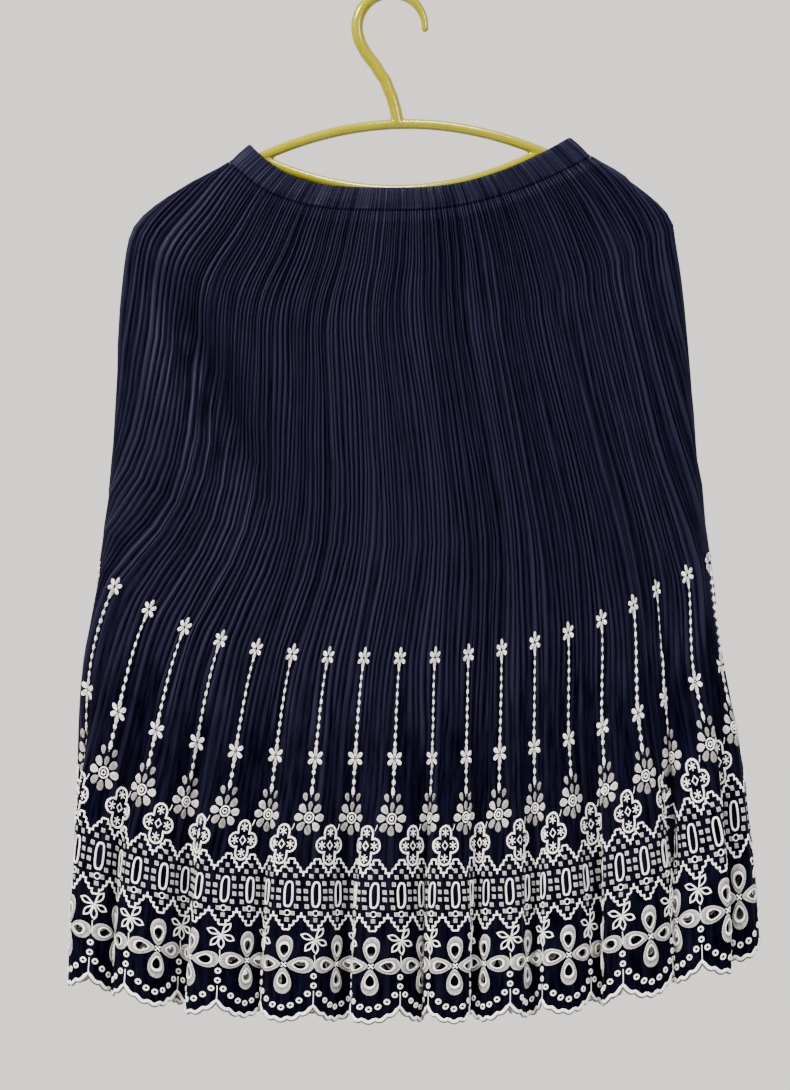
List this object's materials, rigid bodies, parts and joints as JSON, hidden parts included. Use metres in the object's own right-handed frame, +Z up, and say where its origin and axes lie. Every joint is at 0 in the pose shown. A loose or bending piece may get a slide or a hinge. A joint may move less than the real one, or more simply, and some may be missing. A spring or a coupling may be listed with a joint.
{
  "type": "embroidered pleated skirt on a clothes hanger",
  "caption": "Finely pleated dark skirt with an elastic waist and a white embroidered eyelet border with a scalloped hem, hung from inside on a moulded plastic hanger.",
  "frame": {"origin": "underside of the top of the hanger's hook, where it rests on a rail", "axes": "+Z up, -Y out of the front of the skirt, +X to the right as seen from the front"},
  "size_m": [0.5483, 0.1137, 0.8226],
  "materials": {
    "skirt_cloth": "satin",
    "waistband_cloth": "satin",
    "embroidery_thread": "satin",
    "hanger_plastic": "gloss"
  },
  "bodies": {
    "root": {"front_panel": "skirt_cloth", "back_panel": "skirt_cloth", "waistband": "waistband_cloth", "hanger": "hanger_plastic"}
  },
  "joints": []
}
